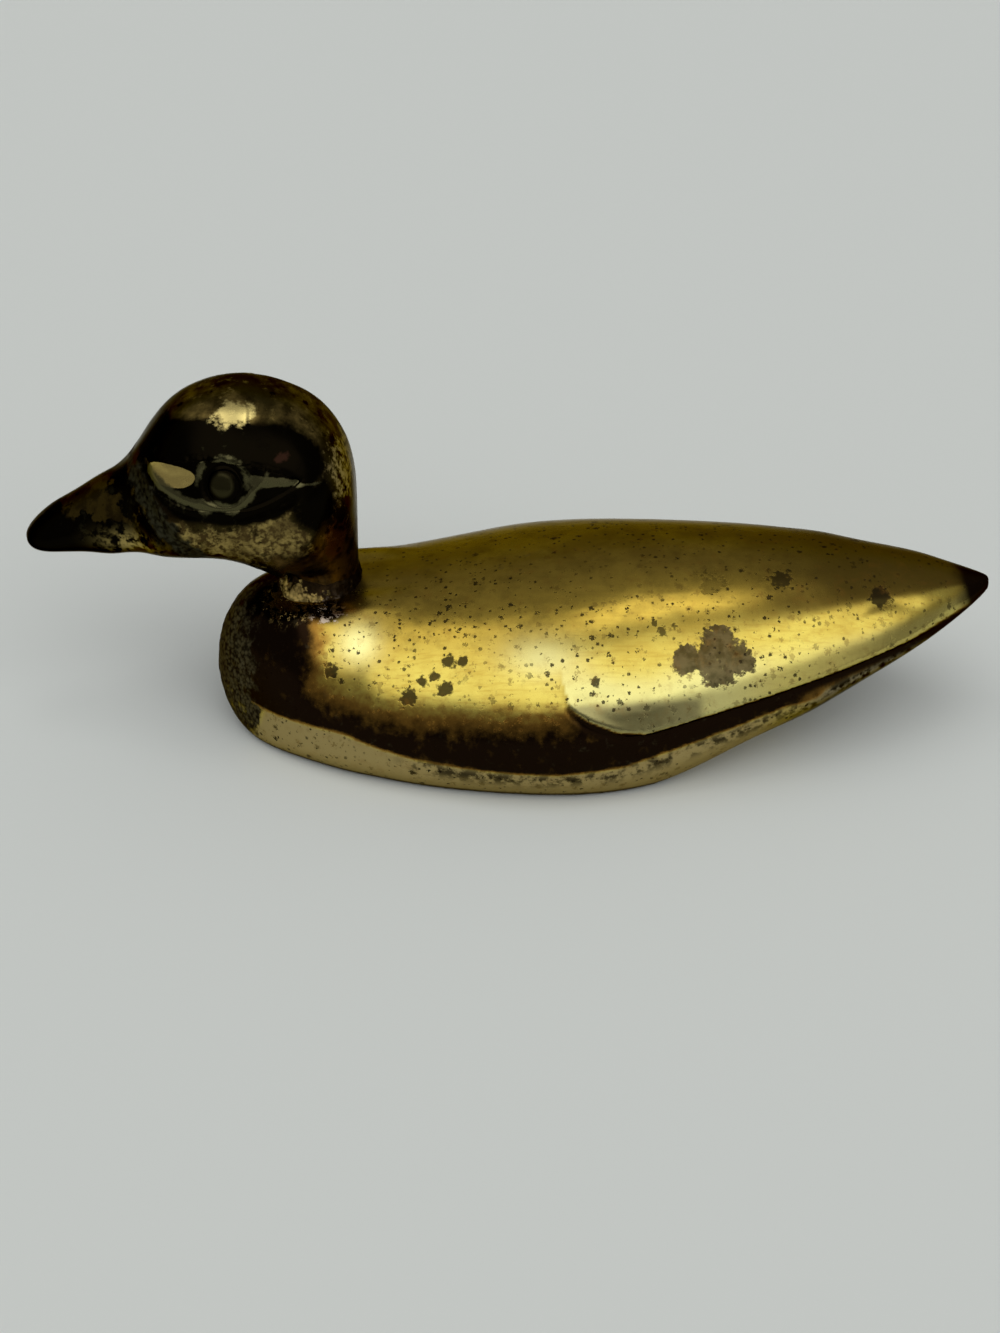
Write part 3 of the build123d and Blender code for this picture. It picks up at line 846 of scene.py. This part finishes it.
def headMetal(tree, look, rag):
    # brown and olive film, worn to gold on the crown, cheeks and nape, black round the eyes
    clouds = placed(tree, tarnishClouds, Size=4.5, Level=0.5, Softness=0.16, Seed=3.0)
    colour = tint(tree, look["brown"], look["olive"], clouds)
    crumbs = placed(tree, tarnishClouds, Size=0.8, Level=0.5, Softness=0.1, Seed=5.0)
    patches = placed(tree, tarnishClouds, Size=3.6, Level=0.46, Softness=0.16, Seed=29.0)
    worn = frayed(tree, painted(tree, "cheek"), rag, 0.9, 0.2, 0.7)
    colour = tint(tree, colour, look["dullGold"], part(tree, worn, 0.8))
    bright = maths(tree, "MULTIPLY", crumbs, mapped(tree, patches, 0.0, 1.0, 0.16, 0.62))
    colour = tint(tree, colour, look["gold"], maths(tree, "MULTIPLY", worn, bright))
    nape = frayed(tree, painted(tree, "nape"), rag, 0.8, 0.35, 0.75)
    colour = tint(tree, colour, look["napeTan"], part(tree, maths(tree, "MULTIPLY", nape, crumbs), 0.82))
    streak = placed(tree, tarnishClouds, Size=2.6, Level=0.48, Softness=0.12, Seed=30.0)
    colour = tint(tree, colour, tint(tree, look["brown"], look["neckBrown"], streak), painted(tree, "neck"))
    colour = tint(tree, colour, look["copper"], frayed(tree, painted(tree, "copper"), rag, 0.7, 0.3, 0.7))
    broad = placed(tree, tarnishClouds, Size=5.0, Level=0.5, Softness=0.2, Seed=41.0)
    crown = painted(tree, "crown")
    halo = most(tree, [crown, part(tree, painted(tree, "domeSide"), 0.75)])
    flecks = placed(tree, tarnishClouds, Size=2.4, Level=0.52, Softness=0.2, Seed=27.0)
    haloGold = maths(tree, "MULTIPLY", frayed(tree, halo, broad, 0.5, 0.02, 0.5), flecks)
    colour = tint(tree, colour, look["haloGold"], part(tree, haloGold, 0.85))
    mask = frayed(tree, painted(tree, "faceBand"), broad, 0.4, 0.25, 0.6)
    colour = tint(tree, colour, look["black"], mask)
    colour = tint(tree, colour, look["rust"], frayed(tree, painted(tree, "rust"), rag, 0.8, 0.4, 0.9))
    scraped = frayed(tree, painted(tree, "scraped"), rag, 0.8, 0.42, 0.7)
    colour = tint(tree, colour, look["gold"], part(tree, maths(tree, "MULTIPLY", scraped, crumbs), 0.8))
    colour = tint(tree, colour, look["pale"], frayed(tree, crown, rag, 0.5, 0.46, 0.8))
    return colour, most(tree, [worn, scraped])


def billMetal(tree, look, rag):
    tops = placed(tree, tarnishClouds, Size=3.4, Level=0.5, Softness=0.08, Seed=15.0)
    colour = tint(tree, look["billOlive"], look["brown"], part(tree, tops, 0.8))
    low = frayed(tree, painted(tree, "billLow"), rag, 0.9, 0.35, 0.6)
    colour = tint(tree, colour, look["black"], low)
    flecks = placed(tree, tarnishClouds, Size=1.5, Level=0.5, Softness=0.06, Seed=21.0)
    scraped = maths(tree, "MULTIPLY", painted(tree, "billFleck"), flecks)
    return tint(tree, colour, look["gold"], part(tree, scraped, 0.8))


def eyeMetal(tree, look, colour, rag):
    # black inside the almond and under the lower lid: patina and painted shade
    dark = most(tree, [painted(tree, "eyeShadeAndPatina"), painted(tree, "underLidShadeAndPatina")])
    colour = tint(tree, colour, look["black"], dark)
    colour = tint(tree, colour, look["gold"], frayed(tree, painted(tree, "eyeGold"), rag, 0.3))
    lids = frayed(tree, painted(tree, "eyeGrey"), rag, 0.6, 0.3, 0.75)
    colour = tint(tree, colour, look["lid"], part(tree, lids, 0.9))
    return tint(tree, colour, look["pupilOlive"], painted(tree, "pupilTop"))


def makeHeadBrass():
    material, tree, shader = newMaterial("headBrass")
    look = headLook
    rag = placed(tree, tarnishClouds, Size=1.8, Level=0.5, Softness=0.2, Seed=8.0)
    colour, worn = headMetal(tree, look, rag)
    colour = tint(tree, colour, billMetal(tree, look, rag), painted(tree, "bill"))
    grain = placed(tree, castGrain, Size=0.7, Seed=5.0)
    rootMask = frayed(tree, painted(tree, "billRoot"), rag, 0.7, 0.3, 0.8)
    rootColour = tint(tree, look["grey"], look["black"], part(tree, grain.outputs["Mask"], 0.8))
    colour = tint(tree, colour, rootColour, rootMask)
    specks = placed(tree, tarnishSpecks, Size=1.3, Share=0.35, Ragged=0.45, Seed=6.0)
    colour = tint(tree, colour, look["black"], part(tree, specks, 0.7))
    colour = tint(tree, colour, look["black"], part(tree, painted(tree, "tip"), 0.45))
    feed(tree, shader, "Base Color", eyeMetal(tree, look, colour, rag))
    rough = most(tree, [worn, rootMask, part(tree, painted(tree, "neck"), 0.4)])
    base = maths(tree, "ADD", look["roughness"], part(tree, rag, 0.08))
    feed(tree, shader, "Roughness", maths(tree, "ADD", base, part(tree, rough, 0.26)))
    bareMetal(shader, look["edge"])
    pitted(tree, shader, maths(tree, "MULTIPLY", grain.outputs["Height"], rough), 0.5, 0.12)
    return material


head = makeHead()
head.data.materials.append(makeHeadBrass())
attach(head, "root")
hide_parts("head_casting")
print("head made:", len(head.data.polygons), "faces")


# Braze: lumpy pitted fillet round the neck
brazeLook = {
    "voxel": 0.16,
    "relax": [(0.5, 4)],
    "pale": (0.60, 0.43, 0.14),
    "dark": (0.026, 0.015, 0.006),
    "pits": (0.010, 0.006, 0.003),
    "flux": (0.36, 0.29, 0.22),
    "edge": (0.42, 0.38, 0.29),
    "roughness": 0.30,
    "lipReach": 1.3,  # millimetres, as are the values below
    "lipDepth": 0.5,
    "lumps": [(0.10, 1.6, 21), (0.06, 0.8, 22)],
    "inset": 0.02,
}


def sinkInto(points, other, reach, depth):
    # pulls the thin lips of a fillet just under the skin they lie on
    skin = BVHTree.FromObject(other, bpy.context.evaluated_depsgraph_get())
    moved = points.copy()
    for index, point in enumerate(points):
        spot, normal = skin.find_nearest(Vector(point) * mm)[:2]
        away = (Vector(point) * mm - spot).dot(normal) / mm
        moved[index] -= np.array(normal) * depth * float(ramp(reach, 0.0, away))
    return moved


def makeBraze():
    braze = evenSkin("neck_braze", "neckBraze", brazeLook["voxel"], brazeLook["relax"])
    points, normals = readPoints(braze.data)
    rise = unevenness(points, brazeLook["lumps"]) - brazeLook["inset"]
    points = points + normals * rise[:, None]
    for other in (head, body):
        points = sinkInto(points, other, brazeLook["lipReach"], brazeLook["lipDepth"])
    writePoints(braze.data, points)
    paintPatches(braze.data, points, neckPatches)
    return braze


def makeBrazeMetal():
    material, tree, shader = newMaterial("brazeMetal")
    look = brazeLook
    rag = placed(tree, tarnishClouds, Size=1.8, Level=0.5, Softness=0.2, Seed=18.0)
    scraped = frayed(tree, painted(tree, "scraped"), rag, 0.9, 0.3, 0.6)
    colour = tint(tree, look["dark"], look["pale"], scraped)
    grain = placed(tree, castGrain, Size=0.6, Seed=9.0)
    colour = tint(tree, colour, look["pits"], part(tree, grain.outputs["Mask"], 0.7))
    crumbs = placed(tree, tarnishClouds, Size=0.7, Level=0.55, Softness=0.05, Seed=35.0)
    colour = tint(tree, colour, look["flux"], maths(tree, "MULTIPLY", painted(tree, "flux"), crumbs))
    feed(tree, shader, "Base Color", colour)
    feed(tree, shader, "Roughness", maths(tree, "ADD", look["roughness"], part(tree, rag, 0.2)))
    bareMetal(shader, look["edge"])
    pitted(tree, shader, grain.outputs["Height"], 0.6, 0.12)
    return material


braze = makeBraze()
braze.data.materials.append(makeBrazeMetal())
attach(braze, "root")
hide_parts("neck_braze")
print("braze made:", len(braze.data.polygons), "faces")


# Base: plain sheet plate and its solder stay as they are in the frame, with worn finishes
plateLook = {"bright": (0.50, 0.38, 0.17), "dark": (0.20, 0.12, 0.05), "roughness": 0.36,
             "cloudSize": 5.0, "seed": 40.0}
solderLook = {"bright": (0.50, 0.50, 0.48), "dark": (0.20, 0.20, 0.19), "roughness": 0.42,
              "cloudSize": 2.0, "seed": 44.0}


def makeDullMetal(name, look):
    material, tree, shader = newMaterial(name)
    size, seed = look["cloudSize"], look["seed"]
    clouds = placed(tree, tarnishClouds, Size=size, Level=0.5, Softness=0.12, Seed=seed)
    grain = placed(tree, castGrain, Size=size / 6, Seed=seed)
    feed(tree, shader, "Base Color", tint(tree, look["bright"], look["dark"], clouds))
    feed(tree, shader, "Roughness", maths(tree, "ADD", look["roughness"], part(tree, clouds, 0.2)))
    shader.inputs["Metallic"].default_value = 1.0
    pitted(tree, shader, grain.outputs["Height"], 0.3, 0.05)
    return material


def dress(node, material):
    nodes[node].data.materials.clear()
    nodes[node].data.materials.append(material)


dress("base_plate", makeDullMetal("plateBrass", plateLook))
dress("base_solder", makeDullMetal("softSolder", solderLook))
print("base plate and solder dressed")


# Felt: a cut oval with soft edges and a fibrous face
feltLook = {"rings": 26, "spokes": 180, "nap": 0.05, "edgeRound": 0.28, "edgeShare": 0.04, "fray": 0.010,
            "sheen": 0.35, "green": (0.030, 0.085, 0.048), "dusty": (0.075, 0.125, 0.085)}


def makeFelt():
    low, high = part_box("felt_pad")
    centre = (low + high) / 2 / mm
    half = (high - low) / 2 / mm
    rings, spokes = feltLook["rings"], feltLook["spokes"]
    bm = bmesh.new()
    faces = {}
    for side in (-1, 1):
        rows = []
        for ring in range(1, rings + 1):
            share = ring / rings
            row = []
            for spoke in range(spokes):
                a = 2 * math.pi * spoke / spokes
                around = Vector((math.cos(a), math.sin(a), 3)) * 14
                fray = 1 - feltLook["fray"] * (0.5 + 0.5 * noise.noise(around))
                x = centre.x + half.x * share * fray * math.cos(a)
                y = centre.y + half.y * share * fray * math.sin(a)
                overEdge = max(0.0, (share - 1 + feltLook["edgeShare"]) / feltLook["edgeShare"])
                drop = feltLook["edgeRound"] * overEdge ** 2
                nap = feltLook["nap"] * (0.5 + 0.5 * noise.noise(Vector((x, y, side * 9)) / 0.9))
                z = centre.z + side * (half.z - drop - nap)
                row.append(bm.verts.new((x * mm, y * mm, z * mm)))
            rows.append(row)
        middle = bm.verts.new((centre.x * mm, centre.y * mm, (centre.z + side * half.z * 0.97) * mm))
        for spoke in range(spokes):
            after = (spoke + 1) % spokes
            bm.faces.new((middle, rows[0][spoke], rows[0][after]))
            for inner, outer in zip(rows, rows[1:]):
                bm.faces.new((inner[spoke], outer[spoke], outer[after], inner[after]))
        faces[side] = rows[-1]
    for spoke in range(spokes):
        after = (spoke + 1) % spokes
        bm.faces.new((faces[-1][spoke], faces[-1][after], faces[1][after], faces[1][spoke]))
    bmesh.ops.recalc_face_normals(bm, faces=bm.faces)
    mesh = bpy.data.meshes.new("feltPad")
    bm.to_mesh(mesh)
    bm.free()
    mesh.shade_smooth()
    felt = bpy.data.objects.new("feltPad", mesh)
    bpy.context.scene.collection.objects.link(felt)
    return felt


def makeFeltCloth():
    material, tree, shader = newMaterial("feltCloth")
    clouds = placed(tree, tarnishClouds, Size=3.0, Level=0.55, Softness=0.2, Seed=50.0)
    fibres = placed(tree, polishLines, Size=0.25, Stretch=0.35, Seed=51.0)
    colour = tint(tree, feltLook["green"], feltLook["dusty"], maths(tree, "MULTIPLY", clouds, fibres))
    feed(tree, shader, "Base Color", colour)
    feed(tree, shader, "Roughness", mapped(tree, fibres, 0.3, 0.7, 0.88, 1.0))
    shader.inputs["Sheen Weight"].default_value = feltLook["sheen"]
    pitted(tree, shader, fibres, 0.6, 0.1)
    return material


felt = makeFelt()
felt.data.materials.append(makeFeltCloth())
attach(felt, "root")
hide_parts("felt_pad")
print("felt made")


# Table, light and camera
stageLook = {"table": (0.72, 0.75, 0.72), "roughness": 0.7, "shine": 0.2, "reach": 3.0}
cameraLook = {"target": (-1.4, 0.0, 5.99), "elevation": 33.0, "distance": 309.7, "lens": 61.43,
              "sensor": 36.0, "nearest": 10.0}

# studio dome: brightness at heights in degrees on the camera's side, low to the left and right and high,
# and behind the duck, dim sides, and a round overhead lamp given by its direction and its reach from there
skyLook = {
    "lowLeft": [(0, 0.26), (24, 0.30)],
    "lowRight": [(0, 0.56), (24, 0.68)],
    "lowBlend": (0.26, 0.36),
    "nearHigh": [(36, 1.60), (60, 1.70), (72, 1.0), (82, 0.55), (89, 0.45)],
    "farSide": [(0, 0.36), (30, 0.34), (88, 0.38)],
    "peak": 1.70,
    "blend": (-0.10, 0.12),
    "slant": 0.5,
    "lean": -7.0,
    "sides": (0.58, 0.80),
    "sideLevel": 0.28,
    "lamp": (0.09, 0.03, 0.995),
    "lampReach": (0.06, 0.24),
    "lampLevel": 2.2,
}


def makeTable():
    mesh = bpy.data.meshes.new("table")
    r = stageLook["reach"]
    mesh.from_pydata([(-r, -r, 0), (r, -r, 0), (r, r, 0), (-r, r, 0)], [], [(0, 1, 2, 3)])
    table = bpy.data.objects.new("table", mesh)
    bpy.context.scene.collection.objects.link(table)
    material, _, shader = newMaterial("tablePale")
    shader.inputs["Base Color"].default_value = (*stageLook["table"], 1)
    shader.inputs["Roughness"].default_value = stageLook["roughness"]
    shader.inputs["Specular IOR Level"].default_value = stageLook["shine"]
    mesh.materials.append(material)


def skySteps(tree, height, levels):
    steps = put(tree, "ShaderNodeValToRGB")
    feed(tree, steps, "Fac", height)
    bar = steps.color_ramp
    while len(bar.elements) < len(levels):
        bar.elements.new(0.5)
    for element, (degrees, level) in zip(bar.elements, levels):
        element.position = degrees / 90
        value = level / skyLook["peak"]
        element.color = (value, value, value, 1)
    return steps.outputs["Color"]


def makeSky():
    # a plain studio dome: broad soft light on the camera's side, a dim room behind the duck
    world = bpy.data.worlds.new("studioDome")
    bpy.context.scene.world = world
    world.use_nodes = True
    tree = world.node_tree
    coords = put(tree, "ShaderNodeTexCoord")
    turned = put(tree, "ShaderNodeVectorRotate", rotation_type="Y_AXIS")
    feed(tree, turned, "Vector", coords.outputs["Generated"])
    feed(tree, turned, "Angle", math.radians(skyLook["lean"]))
    split = put(tree, "ShaderNodeSeparateXYZ")
    feed(tree, split, 0, turned)
    height = maths(tree, "DIVIDE", maths(tree, "ARCSINE", split.outputs["Z"]), math.pi / 2)
    left = skySteps(tree, height, skyLook["lowLeft"] + skyLook["nearHigh"])
    right = skySteps(tree, height, skyLook["lowRight"] + skyLook["nearHigh"])
    near = tint(tree, left, right, mapped(tree, split.outputs["X"], *skyLook["lowBlend"]))
    far = skySteps(tree, height, skyLook["farSide"])
    slanted = maths(tree, "ADD", split.outputs["Y"], part(tree, split.outputs["X"], skyLook["slant"]))
    light = tint(tree, near, far, mapped(tree, slanted, *skyLook["blend"]))
    aside = mapped(tree, maths(tree, "ABSOLUTE", split.outputs["X"]), *skyLook["sides"])
    light = tint(tree, light, [skyLook["sideLevel"] / skyLook["peak"]] * 3, aside)
    away = put(tree, "ShaderNodeVectorMath", operation="DISTANCE")
    feed(tree, away, 0, coords.outputs["Generated"])
    feed(tree, away, 1, skyLook["lamp"])
    lamp = mapped(tree, away.outputs["Value"], *skyLook["lampReach"], 1.0, 0.0)
    light = tint(tree, light, [skyLook["lampLevel"] / skyLook["peak"]] * 3, lamp)
    backdrop = tree.nodes["Background"]
    feed(tree, backdrop, "Color", light)
    backdrop.inputs["Strength"].default_value = skyLook["peak"]


def makeCamera():
    camera = bpy.data.cameras.new("camera")
    camera.sensor_fit = "AUTO"
    camera.sensor_width = cameraLook["sensor"]
    camera.lens = cameraLook["lens"]
    camera.clip_start = cameraLook["nearest"] * mm
    holder = bpy.data.objects.new("camera", camera)
    bpy.context.scene.collection.objects.link(holder)
    tilt = math.radians(cameraLook["elevation"])
    back = Vector((0, -math.cos(tilt), math.sin(tilt)))
    holder.location = (Vector(cameraLook["target"]) + back * cameraLook["distance"]) * mm
    holder.rotation_euler = (math.pi / 2 - tilt, 0, 0)
    bpy.context.scene.camera = holder


makeTable()
makeSky()
makeCamera()
bpy.context.scene.view_settings.view_transform = "Standard"
print("table, light and camera set")
